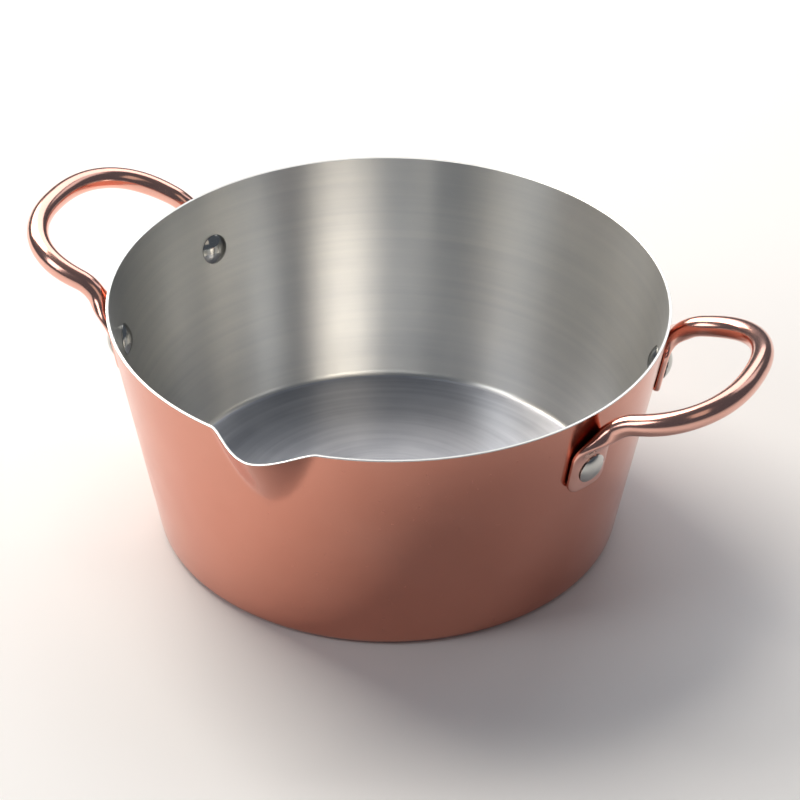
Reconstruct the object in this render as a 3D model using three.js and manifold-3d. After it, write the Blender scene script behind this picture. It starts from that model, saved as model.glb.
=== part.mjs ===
// A two-handled saucepan: a flared copper shell with a bonded steel lining, a pouring lip pressed
// into the rim, and two loop handles, each held by two rivets that pass through the wall.
// Millimetres, +Z up. The origin is the centre of the underside, the handles point along +X and
// -X, and the pouring lip points along -Y.
import * as THREE from 'three';
import { mergeVertices } from 'three/addons/utils/BufferGeometryUtils.js';
import Module from 'manifold-3d';

const wasm = await Module();
wasm.setup();

// ---- pan body -------------------------------------------------------------------------------
const RIM_DIAMETER = 202; // outside, at the top
const BASE_DIAMETER = 169.4; // outside, where the wall line meets the underside
const BODY_HEIGHT = 91;
const COPPER_WALL = 0.55; // thickness of the copper, measured level
const STEEL_WALL = 0.5; // thickness of the steel, measured level
const COPPER_FLOOR = 0.6;
const STEEL_FLOOR = 0.6;
const BOND_GAP = 0.05; // between the two layers
const RIM_CAP = 0.35; // height of the steel turned over the copper's edge
const CORNER_RADIUS = 4; // outside, between underside and wall
const SMALLEST_RADIUS = 1; // of a corner inside a thick wall
const BODY_SIDES = 76;
const CORNER_STEPS = 3;
const WALL_ROWS = 7; // rows of vertices between the foot of the lip and the rim

// ---- pouring lip ----------------------------------------------------------------------------
const LIP_REACH = 9.6; // how far the rim is pushed out
const LIP_DROP = 2; // how far the rim is pulled down at its tip
const LIP_WIDTH = 39.6; // chord across the lip, along the rim
const LIP_HEIGHT = 26; // from its foot to the rim
const LIP_CROWN = 1.75; // higher is squarer across the lip
const LIP_EDGE = 1.6; // higher is softer where the lip meets the rim
const LIP_TAPER = 0.45; // how fast the lip widens above its foot
const LIP_RISE = 1.15; // 1 is a straight front line
const LIP_DENSITY = 0.5; // share by which body sides crowd towards the lip

// ---- handles --------------------------------------------------------------------------------
const ROD_DIAMETER = 8;
const NECK_DIAMETER = 7.2; // where the round rod meets the beaten length
const NECK_LENGTH = 22; // over which the rod grows from the neck to its full size
const HANDLE_SPREAD = 68; // between the centre lines of the two arms
const ARM_LENGTH = 0.6; // straight, between the bend and the bow
const BOW_DEPTH = 29; // length of the half-oval beyond the straight arms
const BOW_SQUARENESS = 2.3; // superellipse power of the half-oval
const HANDLE_TILT = 16.3; // degrees that the loop rises outwards
const TAB_LENGTH = 28.6; // from its lower end to the corner with the arm, along its middle
const TAB_WIDTH = 17.4;
const TAB_THICKNESS = 3;
const TAB_CORNER = 4; // radius of the tab's lower corners
const TAB_SQUARENESS = 3.6; // superellipse power of the flattened section
const BEND_LENGTH = 12; // of tab and of arm, taken up by the bend between them
const BEND_FULLNESS = 0.6; // pull of the corner on the bend
const FORGED_LENGTH = 15; // over which the rod is beaten from round to flat
const FORGED_DISTANCE = 22; // from the tab's end to the middle of that length
const HANDLE_SIDES = 12;
const ROD_STEP = 4.5; // between sections along the rod
const TAB_STEP = 2.4; // between sections along the tab and the bend
const TAB_END_STATIONS = [0, 0.1, 0.35]; // sections round the tab's corners, as shares of their radius

// ---- rivets ---------------------------------------------------------------------------------
const RIVET_DEPTH = 22.4; // of the rivets' centres below the rim
const RIVET_SPLAY = 3; // how much further apart the rivets are than the arms
const RIVET_INSET = 9; // from the lower end of a tab
const RIVET_HEAD_DIAMETER = 11.4;
const RIVET_DOME = 2.3; // height of a head
const RIVET_SHANK_DIAMETER = 5;
const RIVET_HOLE_CLEARANCE = 0.3; // around the shank
const REST_GAP = 0.3; // under each rivet head and behind each tab
const RIVET_SIDES = 16;
const DOME_STEPS = 3;
const CUTTER_LENGTH = 40; // of the tool that cuts a rivet's hole
const MERGE_DISTANCE = 0.0001; // at which two vertices become one

// ---- worked out from the sizes above ---------------------------------------------------------
const RIM_RADIUS = RIM_DIAMETER / 2;
const BASE_RADIUS = BASE_DIAMETER / 2;
const WALL_SLOPE = (RIM_RADIUS - BASE_RADIUS) / BODY_HEIGHT;
const WALL_LEAN = Math.atan(WALL_SLOPE);
const LIP_HALF_ANGLE = Math.asin(LIP_WIDTH / 2 / RIM_RADIUS);
const LIP_FOOT = BODY_HEIGHT - LIP_HEIGHT;
const SHELL_TOP = BODY_HEIGHT - RIM_CAP - BOND_GAP;
const RIVET_HEIGHT = BODY_HEIGHT - RIVET_DEPTH;
const RIVET_SPACING = HANDLE_SPREAD + RIVET_SPLAY;
const TILT = THREE.MathUtils.degToRad(HANDLE_TILT);

const vector = (x, y, z) => new THREE.Vector3(x, y, z);

function wallRadius(z) {
  return BASE_RADIUS + WALL_SLOPE * z;
}

// ---- pan body -------------------------------------------------------------------------------

// A point of the profile on the wall, this far inside the outer wall line.
function wallPoint(inset, height) {
  return new THREE.Vector2(wallRadius(height) - inset, height);
}

// One side of a layer: from the axis out along the floor, round the corner and up the wall to
// the copper's top edge. inset is how far this side lies inside the outer wall line, and floor
// is its height. Rows of vertices are close together only where the lip bends the wall, and
// every side has them at the same heights, so the layers stay apart when the lip is pressed.
function layerSide(inset, floor) {
  const turn = Math.PI / 2 - WALL_LEAN;
  const radius = Math.max(CORNER_RADIUS - inset, SMALLEST_RADIUS);
  const tangent = radius * Math.tan(turn / 2);
  const cornerX = wallRadius(floor) - inset - tangent;
  const side = [new THREE.Vector2(0, floor)];
  for (let step = 0; step <= CORNER_STEPS; step += 1) {
    const angle = turn * (step / CORNER_STEPS);
    side.push(new THREE.Vector2(
      cornerX + radius * Math.sin(angle),
      floor + radius * (1 - Math.cos(angle)),
    ));
  }
  for (let row = 0; row <= WALL_ROWS; row += 1) {
    side.push(wallPoint(inset, LIP_FOOT + (SHELL_TOP - LIP_FOOT) * (row / WALL_ROWS)));
  }
  return side;
}

// How far the wall is pushed out at this angle from the lip's middle and this height.
function lipShare(angle, z) {
  const rise = THREE.MathUtils.clamp((z - LIP_FOOT) / LIP_HEIGHT, 0, 1);
  const halfAngle = LIP_HALF_ANGLE * rise ** LIP_TAPER;
  if (rise === 0 || Math.abs(angle) >= halfAngle) {
    return 0;
  }
  const across = (1 - Math.abs(angle / halfAngle) ** LIP_CROWN) ** LIP_EDGE;
  return across * rise ** LIP_RISE;
}

// A layer of the body: its profile is turned about Z, its sides crowd towards the lip, and the
// lip is pressed out. The same push moves every layer, so the layers keep their distance.
function turnedLayer(profile) {
  const geometry = new THREE.LatheGeometry(profile, BODY_SIDES);
  geometry.rotateX(Math.PI / 2);
  const position = geometry.attributes.position;
  for (let i = 0; i < position.count; i += 1) {
    const x = position.getX(i);
    const y = position.getY(i);
    const z = position.getZ(i);
    const even = Math.atan2(x, -y);
    const angle = even - LIP_DENSITY * Math.sin(even);
    const share = lipShare(angle, z);
    const radius = Math.hypot(x, y) + LIP_REACH * share;
    const drop = LIP_DROP * share;
    position.setXYZ(i, radius * Math.sin(angle), -radius * Math.cos(angle), z - drop);
  }
  return geometry;
}

function copperShell() {
  const outside = layerSide(0, 0);
  const inside = layerSide(COPPER_WALL, COPPER_FLOOR);
  return cutRivetHoles(turnedLayer([...outside, ...inside.reverse()]));
}

// Turns every face over and keeps its edges.
function turnOver(geometry) {
  const corners = geometry.index.array;
  for (let i = 0; i < corners.length; i += 3) {
    [corners[i], corners[i + 1]] = [corners[i + 1], corners[i]];
  }
  return geometry;
}

// The steel lies inside the copper and is turned out over the copper's edge at the rim. Its
// profile runs the other way round, so that its outer side is split into triangles along the
// same diagonals as the copper's inner side, and the two stay apart in the lip.
function steelLining() {
  const outerInset = COPPER_WALL + BOND_GAP;
  const outerFloor = COPPER_FLOOR + BOND_GAP;
  const innerInset = outerInset + STEEL_WALL;
  const capBottom = BODY_HEIGHT - RIM_CAP;
  const outside = layerSide(outerInset, outerFloor);
  const cap = [
    wallPoint(innerInset, BODY_HEIGHT),
    wallPoint(0, BODY_HEIGHT),
    wallPoint(0, capBottom),
    wallPoint(outerInset, capBottom),
  ];
  const inside = layerSide(innerInset, outerFloor + STEEL_FLOOR);
  return cutRivetHoles(turnOver(turnedLayer([...inside, ...cap, ...outside.reverse()])));
}

// ---- handles --------------------------------------------------------------------------------

// Frame on the wall at a rivet of the +X handle. side is +1 or -1 for the +Y or -Y rivet.
function rivetFrame(side) {
  const radius = wallRadius(RIVET_HEIGHT);
  const seat = REST_GAP + TAB_THICKNESS / 2;
  const angle = side * Math.asin(RIVET_SPACING / 2 / (radius + seat * Math.cos(WALL_LEAN)));
  const level = vector(Math.cos(angle), Math.sin(angle), 0);
  const up = vector(0, 0, 1);
  const along = level.clone().multiplyScalar(Math.sin(WALL_LEAN)).addScaledVector(up, Math.cos(WALL_LEAN));
  const out = level.clone().multiplyScalar(Math.cos(WALL_LEAN)).addScaledVector(up, -Math.sin(WALL_LEAN));
  const onWall = level.clone().multiplyScalar(radius).addScaledVector(up, RIVET_HEIGHT);
  const across = vector(-Math.sin(angle), Math.cos(angle), 0);
  return { onWall, along, out, across, seat };
}

// Half of the loop's spine, from the lower end of the tab to the middle of the bow. The spine
// runs half a tab's thickness under the back of the rod: the back is straight from the wall
// into the bend, and the rod is beaten flat from its front.
function halfSpine() {
  const { onWall, along, out, seat } = rivetFrame(1);
  const outwards = vector(Math.cos(TILT), 0, Math.sin(TILT));
  const tabMiddle = onWall.clone().addScaledVector(out, seat);
  const corner = tabMiddle.clone().addScaledVector(along, TAB_LENGTH - RIVET_INSET);
  const onLoop = (x, y) => vector(x, y, corner.z + Math.tan(TILT) * (x - corner.x));
  const tabEnd = corner.clone().addScaledVector(along, -TAB_LENGTH);
  const bendStart = corner.clone().addScaledVector(along, -BEND_LENGTH);
  const bendEnd = onLoop(corner.x + BEND_LENGTH * Math.cos(TILT), HANDLE_SPREAD / 2);
  const pull = BEND_LENGTH * BEND_FULLNESS;
  const bowX = bendEnd.x + ARM_LENGTH;
  const line = new THREE.CurvePath();
  line.add(new THREE.LineCurve3(tabEnd, bendStart));
  line.add(new THREE.CubicBezierCurve3(
    bendStart,
    bendStart.clone().addScaledVector(along, pull),
    bendEnd.clone().addScaledVector(outwards, -pull),
    bendEnd,
  ));
  line.add(new THREE.LineCurve3(bendEnd, onLoop(bowX, HANDLE_SPREAD / 2)));
  line.add(halfOval(bowX, onLoop));
  return line;
}

// The bow: a quarter of a superellipse in the plane of the loop, from an arm to the middle.
function halfOval(bowX, onLoop) {
  const oval = new THREE.Curve();
  const power = 2 / BOW_SQUARENESS;
  oval.getPoint = (t, target = vector(0, 0, 0)) => {
    const angle = (t * Math.PI) / 2;
    const x = bowX + BOW_DEPTH * Math.sin(angle) ** power;
    const y = (HANDLE_SPREAD / 2) * Math.max(Math.cos(angle), 0) ** power;
    return target.copy(onLoop(x, y));
  };
  return oval;
}

// Distances along half the spine at which the rod has a section.
function sectionStations(line) {
  const total = line.getLength();
  const fine = TAB_LENGTH + BEND_LENGTH;
  const stations = TAB_END_STATIONS.map((share) => share * TAB_CORNER);
  const fineCount = Math.ceil(fine / TAB_STEP);
  for (let i = 1; i <= fineCount; i += 1) {
    stations.push((fine * i) / fineCount);
  }
  const coarseCount = Math.ceil((total - fine) / ROD_STEP);
  for (let i = 1; i <= coarseCount; i += 1) {
    stations.push(fine + ((total - fine) * i) / coarseCount);
  }
  return stations;
}

// Half width, half thickness and squareness of the rod at a distance from the tab's end.
function sectionSize(distance) {
  const forgedFrom = FORGED_DISTANCE - FORGED_LENGTH / 2;
  const neck = forgedFrom + FORGED_LENGTH;
  const roundness = THREE.MathUtils.smoothstep(distance, forgedFrom, neck);
  const growth = THREE.MathUtils.smoothstep(distance, neck, neck + NECK_LENGTH);
  const rod = THREE.MathUtils.lerp(NECK_DIAMETER / 2, ROD_DIAMETER / 2, growth);
  const fromCorner = Math.max(TAB_CORNER - distance, 0);
  const cornerCut = TAB_CORNER - Math.sqrt(TAB_CORNER ** 2 - fromCorner ** 2);
  return {
    width: THREE.MathUtils.lerp(TAB_WIDTH / 2, rod, roundness) - cornerCut,
    thickness: THREE.MathUtils.lerp(TAB_THICKNESS / 2, rod, roundness),
    power: THREE.MathUtils.lerp(TAB_SQUARENESS, 2, roundness),
    roundness,
  };
}

// The sections along the whole loop: centre, two unit vectors across it, and its size.
function loopSections() {
  const line = halfSpine();
  const total = line.getLength();
  const { across } = rivetFrame(1);
  const half = sectionStations(line).map((distance) => {
    const size = sectionSize(distance);
    const spine = line.getPointAt(Math.min(distance / total, 1));
    const along = line.getTangentAt(Math.min(distance / total, 1));
    const loopUp = vector(-Math.sin(TILT), 0, Math.cos(TILT));
    const level = across.clone().lerp(loopUp.cross(along).normalize(), size.roundness);
    const face = level.cross(along).normalize();
    const centre = spine.addScaledVector(face, size.thickness - TAB_THICKNESS / 2);
    return { centre, side: along.clone().cross(face).normalize(), face, size };
  });
  const mirror = vector(1, -1, 1);
  const mirrored = half.slice(0, -1).reverse().map(({ centre, side, face, size }) => ({
    centre: centre.clone().multiply(mirror),
    side: side.clone().multiply(mirror),
    face: face.clone().multiply(mirror),
    size,
  }));
  return [...half, ...mirrored];
}

// A closed tube whose rings are moved onto the sections of the loop.
function loopHandle() {
  const sections = loopSections();
  const rings = sections.length - 1;
  const geometry = new THREE.CylinderGeometry(1, 1, rings, HANDLE_SIDES, rings);
  const position = geometry.attributes.position;
  for (let i = 0; i < position.count; i += 1) {
    const ring = Math.round(rings / 2 + position.getY(i));
    const { centre, side, face, size } = sections[ring];
    const x = position.getX(i);
    const z = position.getZ(i);
    const point = centre.clone();
    const onRing = Math.round(Math.hypot(x, z)) === 1;
    if (onRing) {
      const power = 2 / size.power;
      point.addScaledVector(side, size.width * Math.sign(x) * Math.abs(x) ** power);
      point.addScaledVector(face, size.thickness * Math.sign(z) * Math.abs(z) ** power);
    }
    position.setXYZ(i, point.x, point.y, point.z);
  }
  return cutRivetHoles(geometry);
}

// ---- rivets ---------------------------------------------------------------------------------

// Depth of a flat head's edge below the curved wall it bridges.
function wallSag() {
  return (RIVET_HEAD_DIAMETER / 2) ** 2 / (2 * wallRadius(RIVET_HEIGHT));
}

// A dome head of the rivet, from the axis to the head's edge.
function domeProfile(base, direction) {
  const edge = RIVET_HEAD_DIAMETER / 2;
  const radius = (edge ** 2 + RIVET_DOME ** 2) / (2 * RIVET_DOME);
  const fullAngle = Math.asin(edge / radius);
  const dome = [];
  for (let step = 0; step <= DOME_STEPS; step += 1) {
    const angle = (fullAngle * step) / DOME_STEPS;
    const height = radius * Math.cos(angle) - (radius - RIVET_DOME);
    dome.push(new THREE.Vector2(radius * Math.sin(angle), base + direction * height));
  }
  return dome;
}

// A rivet about Z, with Z = 0 on the outer face of the wall and +Z pointing out of the pan.
function rivetBody() {
  const shank = RIVET_SHANK_DIAMETER / 2;
  const wall = COPPER_WALL + BOND_GAP + STEEL_WALL;
  const outer = REST_GAP + TAB_THICKNESS + REST_GAP;
  const inner = -wall - REST_GAP - wallSag();
  const inside = domeProfile(inner, -1);
  const outside = domeProfile(outer, 1);
  const profile = [
    ...inside,
    new THREE.Vector2(shank, inner),
    new THREE.Vector2(shank, outer),
    ...outside.reverse(),
  ];
  const geometry = new THREE.LatheGeometry(profile, RIVET_SIDES);
  return geometry.rotateX(Math.PI / 2);
}

// Turns and moves a geometry made about Z onto a rivet's axis on the +X or the -X side.
function ontoRivet(geometry, side, end) {
  const { onWall, along, out } = rivetFrame(side);
  const across = along.clone().cross(out);
  const placed = new THREE.Matrix4().makeBasis(along, across.negate(), out).setPosition(onWall);
  geometry.applyMatrix4(placed);
  if (end < 0) {
    geometry.rotateZ(Math.PI);
  }
  return geometry;
}

// ---- solids ---------------------------------------------------------------------------------

function toSolid(geometry) {
  const bare = geometry.clone();
  bare.deleteAttribute('normal');
  bare.deleteAttribute('uv');
  const merged = mergeVertices(bare, MERGE_DISTANCE);
  return new wasm.Manifold(new wasm.Mesh({
    numProp: 3,
    vertProperties: new Float32Array(merged.attributes.position.array),
    triVerts: new Uint32Array(merged.index.array),
  }));
}

function toGeometry(solid) {
  const mesh = solid.getMesh();
  const geometry = new THREE.BufferGeometry();
  geometry.setAttribute('position', new THREE.BufferAttribute(mesh.vertProperties, 3));
  geometry.setIndex(new THREE.BufferAttribute(mesh.triVerts, 1));
  geometry.computeVertexNormals();
  return geometry;
}

// The four rivet holes of the pan, cut from whatever crosses them.
function cutRivetHoles(geometry) {
  const radius = RIVET_SHANK_DIAMETER / 2 + RIVET_HOLE_CLEARANCE;
  let solid = toSolid(geometry);
  for (const end of [1, -1]) {
    for (const side of [1, -1]) {
      const cutter = new THREE.CylinderGeometry(radius, radius, CUTTER_LENGTH, RIVET_SIDES);
      cutter.rotateX(Math.PI / 2);
      solid = solid.subtract(toSolid(ontoRivet(cutter, side, end)));
    }
  }
  return toGeometry(solid);
}

// ---- assembly -------------------------------------------------------------------------------

const copper = () => new THREE.MeshStandardMaterial({ color: 0xc98572, roughness: 0.3, metalness: 1 });
const brushedSteel = () => new THREE.MeshStandardMaterial({ color: 0x9a9b9a, roughness: 0.3, metalness: 1 });
const shinySteel = () => new THREE.MeshStandardMaterial({ color: 0xb4b4b0, roughness: 0.1, metalness: 1 });

const saucepan = new THREE.Group();

function add(name, geometry, material) {
  const mesh = new THREE.Mesh(geometry, material);
  mesh.name = name;
  saucepan.add(mesh);
  return mesh;
}

add('copper_shell', copperShell(), copper());
add('steel_lining', steelLining(), brushedSteel());

const ends = [
  { name: 'right', end: 1 },
  { name: 'left', end: -1 },
];
for (const { name, end } of ends) {
  const handle = add(`handle_${name}`, loopHandle(), copper());
  handle.rotation.z = end > 0 ? 0 : Math.PI;
  add(`rivet_${name}_front`, ontoRivet(rivetBody(), -end, end), shinySteel());
  add(`rivet_${name}_back`, ontoRivet(rivetBody(), end, end), shinySteel());
}

export default saucepan;
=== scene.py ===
# %% [markdown]
# # A copper saucepan
# This lesson builds the looks of a two-handled saucepan. The pan is a flared copper body with a
# bonded steel lining, a pouring lip pressed into the rim, and two copper loop handles on rivets.
# The frame holds the sizes and the places. Each piece below is made with more faces than its frame
# node, and then stands for it.

# %% Load the frame
import bmesh
import bpy
import math
from mathutils import Euler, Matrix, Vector


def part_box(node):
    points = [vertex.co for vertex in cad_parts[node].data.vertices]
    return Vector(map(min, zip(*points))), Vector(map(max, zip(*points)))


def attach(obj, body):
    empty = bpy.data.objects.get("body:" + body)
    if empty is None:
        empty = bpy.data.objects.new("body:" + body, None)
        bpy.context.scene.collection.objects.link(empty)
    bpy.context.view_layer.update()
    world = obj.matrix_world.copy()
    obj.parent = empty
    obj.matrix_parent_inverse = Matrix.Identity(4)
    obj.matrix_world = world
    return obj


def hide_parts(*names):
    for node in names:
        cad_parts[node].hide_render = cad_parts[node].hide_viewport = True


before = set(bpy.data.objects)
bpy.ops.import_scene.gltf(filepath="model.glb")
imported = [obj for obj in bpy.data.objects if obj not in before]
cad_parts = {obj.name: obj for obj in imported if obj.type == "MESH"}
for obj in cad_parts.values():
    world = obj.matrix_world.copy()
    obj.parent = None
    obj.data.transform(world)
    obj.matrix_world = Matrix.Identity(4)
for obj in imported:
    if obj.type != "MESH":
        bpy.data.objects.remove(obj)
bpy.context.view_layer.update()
print("frame nodes:", sorted(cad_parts))

# %% [markdown]
# ## Sizes
# Overall sizes are measured from the frame, so the fine pieces follow it. Sheet thicknesses,
# corner radii and the like are too small to read from a box, so they are named here. Everything
# is in metres, and MM turns millimetres into them.

# %% Measure the frame and name the small sizes
MM = 0.001
FULL_TURN = 2 * math.pi

lining_low, lining_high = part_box("steel_lining")
rivet_low, rivet_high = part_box("rivet_right_back")
rivet_middle = (rivet_low + rivet_high) / 2
RIM_RADIUS = lining_high.y
BODY_HEIGHT = lining_high.z
LIP_REACH = -lining_low.y - RIM_RADIUS

BASE_RADIUS = 84.7 * MM  # where the wall line meets the underside
COPPER = 0.55 * MM  # thickness of the copper sheet
STEEL = 0.5 * MM  # thickness of the steel sheet
COPPER_FLOOR = 0.6 * MM  # the copper in the pan's floor
STEEL_FLOOR = 0.6 * MM  # the steel in the pan's floor
RIM_CAP = 0.35 * MM  # height of the steel turned over the copper's edge
RIM_ROUND = 0.16 * MM  # rounding of the rim's two edges
CORNER_RADIUS = 4 * MM  # outside, between underside and wall

WALL_SLOPE = (RIM_RADIUS - BASE_RADIUS) / BODY_HEIGHT
WALL_LEAN = math.atan(WALL_SLOPE)
COPPER_TOP = BODY_HEIGHT - RIM_CAP  # the copper's edge, under the turned-over steel


def wall_radius(z):
    """Radius of the outer wall at a height."""
    return BASE_RADIUS + WALL_SLOPE * z


print("rim radius", round(RIM_RADIUS / MM, 1), "mm")
print("wall leans", round(math.degrees(WALL_LEAN), 1), "degrees")

# %% [markdown]
# ## Helpers
# Colours are picked as sRGB hex values, as on a colour chart, and a shader wants linear light.
# One function turns the first into the second. Another adds a node to any tree, with its settings
# and its links, so that a tree reads as a list of steps.


# %% Colour and node helpers
SEAM = 0.002 * MM  # points closer than this become one point


def linear(hex_colour):
    """An sRGB hex value as a linear RGBA colour."""
    channels = [int(hex_colour[i : i + 2], 16) / 255 for i in (1, 3, 5)]
    return [c / 12.92 if c <= 0.04045 else ((c + 0.055) / 1.055) ** 2.4 for c in channels] + [1.0]


def add_node(tree, kind, inputs=None, **settings):
    """Adds a node, sets its properties, and fills its inputs with values or links. A Math node
    adds, unless an operation is named."""
    node = tree.nodes.new(kind)
    for name, value in settings.items():
        setattr(node, name, value)
    for name, value in (inputs or {}).items():
        if isinstance(value, bpy.types.NodeSocket):
            tree.links.new(value, node.inputs[name])
        else:
            node.inputs[name].default_value = value
    return node


def new_tree(name, sockets):
    """A Geometry Nodes tree with a geometry input and output and the named inputs."""
    tree = bpy.data.node_groups.new(name, "GeometryNodeTree")
    tree.interface.new_socket("Geometry", in_out="OUTPUT", socket_type="NodeSocketGeometry")
    tree.interface.new_socket("Geometry", in_out="INPUT", socket_type="NodeSocketGeometry")
    for socket_name, kind in sockets.items():
        tree.interface.new_socket(socket_name, in_out="INPUT", socket_type="NodeSocket" + kind)
    return tree, add_node(tree, "NodeGroupInput").outputs


def finish_tree(tree, geometry, material):
    """Ends a tree: real faces instead of instances, closed seams, smooth shading, a material."""
    real = add_node(tree, "GeometryNodeRealizeInstances", {"Geometry": geometry})
    merged = add_node(
        tree, "GeometryNodeMergeByDistance", {"Geometry": real.outputs[0], "Distance": SEAM}
    )
    smooth = add_node(tree, "GeometryNodeSetShadeSmooth", {"Geometry": merged.outputs[0]})
    painted = add_node(
        tree, "GeometryNodeSetMaterial", {"Geometry": smooth.outputs[0], "Material": material}
    )
    add_node(tree, "NodeGroupOutput", {"Geometry": painted.outputs[0]})


# %% [markdown]
# A tree is run once on a small starting mesh, and its result is kept as a plain mesh without the
# modifier. The starting mesh holds the numbers that the tree reads: the points of an outline, or
# the sections of a rod with their sizes as attributes.


# %% Run a tree and keep a plain mesh
def wire(name, points, attributes=None):
    """A mesh of points joined in a row, with one float or vector attribute for each name."""
    mesh = bpy.data.meshes.new(name)
    mesh.from_pydata(points, [(i, i + 1) for i in range(len(points) - 1)], [])
    for attribute_name, values in (attributes or {}).items():
        is_vector = hasattr(values[0], "__len__")
        kind, key = ("FLOAT_VECTOR", "vector") if is_vector else ("FLOAT", "value")
        attribute = mesh.attributes.new(attribute_name, kind, "POINT")
        flat = [c for value in values for c in value] if is_vector else values
        attribute.data.foreach_set(key, flat)
    piece = bpy.data.objects.new(name, mesh)
    bpy.context.scene.collection.objects.link(piece)
    return piece


def grow(piece, tree, values):
    """Runs a tree on a piece with these inputs, and keeps the result as its plain mesh."""
    modifier = piece.modifiers.new(tree.name, "NODES")
    modifier.node_group = tree
    identifiers = {item.name: item.identifier for item in tree.interface.items_tree}
    for name, value in values.items():
        modifier[identifiers[name]] = value
    evaluated = piece.evaluated_get(bpy.context.evaluated_depsgraph_get())
    mesh = bpy.data.meshes.new_from_object(evaluated)
    mesh.name = piece.name
    mesh.materials.pop(index=0)  # the empty slot that the starting mesh brings
    piece.modifiers.remove(modifier)
    piece.data = mesh
    return piece


def print_volume(piece):
    """Prints a piece's volume, which is above zero when its faces point outwards."""
    body = bmesh.new()
    body.from_mesh(piece.data)
    open_edges = sum(1 for edge in body.edges if not edge.is_manifold)
    cubic_cm = body.calc_volume(signed=True) / (10 * MM) ** 3
    body.free()
    print(piece.name, len(piece.data.polygons), "faces,", round(cubic_cm, 2), "cm3")
    print("  edges left open:", open_edges)


# %% [markdown]
# ## Finishes
# ### Satin-polished copper
# The outside of the body is copper sheet, spun to shape and polished on a wheel while it turns.
# Seen close, it has very fine lines that run round the body, a soft cloudiness where the wheel
# pressed harder, a faint dulling where hands and water have been, and tiny dull pits that the wheel
# did not reach. The lines come from a noise stretched round the axis, so they follow the body.

# %% Sizes of the polish, and ring coordinates
LINE_PITCH = 0.35 * MM  # of polishing and brushing lines; drawn coarse, or they would not show
POLISH_TURN = 1.0 * MM  # what one radian round the pan counts as, which draws the lines out
CLOUD_SIZE = 38 * MM  # of the cloudy patches that polishing leaves
SMUDGE_SIZE = 9 * MM  # of the marks that hands and water leave
PIT_SIZE = 1.1 * MM
PIT_START, PIT_FULL = 0.7, 0.78  # noise values; few points reach them, so pits are rare
PIT_ROUGHNESS = 0.2  # what a full pit adds
HAZE_FULL = 0.5  # pattern value that is roughest
SATIN_ROUGHNESS = (0.13, 0.24)
LINE_DEPTH = 0.02 * MM
PIT_DEPTH = 0.05 * MM


def new_material(name):
    """A material with a principled shader, its tree, the shader and Object coordinates."""
    material = bpy.data.materials.new(name)
    material.use_nodes = True
    tree = material.node_tree
    place = add_node(tree, "ShaderNodeTexCoord").outputs["Object"]
    return material, tree, tree.nodes["Principled BSDF"], place


def ring_coordinates(tree, place, turn_length):
    """Radius, height and turn of a point, for a pattern of rings about the axis. A radian of turn
    counts as the turn length, so a short one gives long lines."""
    split = add_node(tree, "ShaderNodeSeparateXYZ", {0: place})
    flat = add_node(tree, "ShaderNodeCombineXYZ", {0: split.outputs[0], 1: split.outputs[1]})
    radius = add_node(tree, "ShaderNodeVectorMath", {0: flat.outputs[0]}, operation="LENGTH")
    angle = add_node(
        tree, "ShaderNodeMath", {0: split.outputs[0], 1: split.outputs[1]}, operation="ARCTAN2"
    )
    turn = add_node(
        tree, "ShaderNodeMath", {0: angle.outputs[0], 1: turn_length}, operation="MULTIPLY"
    )
    rings = add_node(
        tree,
        "ShaderNodeCombineXYZ",
        {0: radius.outputs["Value"], 1: split.outputs[2], 2: turn.outputs[0]},
    )
    return rings.outputs[0]


# %% Satin-polished copper
def satin_polished_copper():
    """The copper sheet of the body's outside."""
    material, tree, shader, place = new_material("satin_polished_copper")
    rings = ring_coordinates(tree, place, POLISH_TURN)
    lines = add_node(
        tree, "ShaderNodeTexNoise", {"Vector": rings, "Scale": 1 / LINE_PITCH, "Detail": 2.0}
    )
    clouds = add_node(
        tree, "ShaderNodeTexNoise", {"Vector": place, "Scale": 1 / CLOUD_SIZE, "Detail": 3.0}
    )
    smudges = add_node(
        tree, "ShaderNodeTexNoise", {"Vector": place, "Scale": 1 / SMUDGE_SIZE, "Detail": 5.0}
    )
    colour = add_node(
        tree,
        "ShaderNodeMix",
        {"Factor": clouds.outputs[0], "A": linear("#dc9c89"), "B": linear("#d08b77")},
        data_type="RGBA",
    )
    tree.links.new(colour.outputs["Result"], shader.inputs["Base Color"])
    haze = add_node(
        tree, "ShaderNodeMath", {0: clouds.outputs[0], 1: smudges.outputs[0]}, operation="MULTIPLY"
    )
    satin = add_node(
        tree,
        "ShaderNodeMapRange",
        {
            "Value": haze.outputs[0],
            "From Max": HAZE_FULL,
            "To Min": SATIN_ROUGHNESS[0],
            "To Max": SATIN_ROUGHNESS[1],
        },
    )
    grain = add_node(
        tree, "ShaderNodeTexNoise", {"Vector": place, "Scale": 1 / PIT_SIZE, "Detail": 2.0}
    )
    pits = add_node(
        tree,
        "ShaderNodeMapRange",
        {
            "Value": grain.outputs[0],
            "From Min": PIT_START,
            "From Max": PIT_FULL,
            "To Max": PIT_ROUGHNESS,
        },
    )
    rough = add_node(tree, "ShaderNodeMath", {0: satin.outputs[0], 1: pits.outputs[0]})
    tree.links.new(rough.outputs[0], shader.inputs["Roughness"])
    wheel = add_node(
        tree,
        "ShaderNodeBump",
        {"Height": lines.outputs[0], "Strength": 0.16, "Distance": LINE_DEPTH},
    )
    bump = add_node(
        tree,
        "ShaderNodeBump",
        {
            "Height": pits.outputs[0],
            "Normal": wheel.outputs[0],
            "Strength": 0.5,
            "Distance": PIT_DEPTH,
        },
        invert=True,
    )
    tree.links.new(bump.outputs[0], shader.inputs["Normal"])
    shader.inputs["Metallic"].default_value = 1.0
    return material


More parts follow.
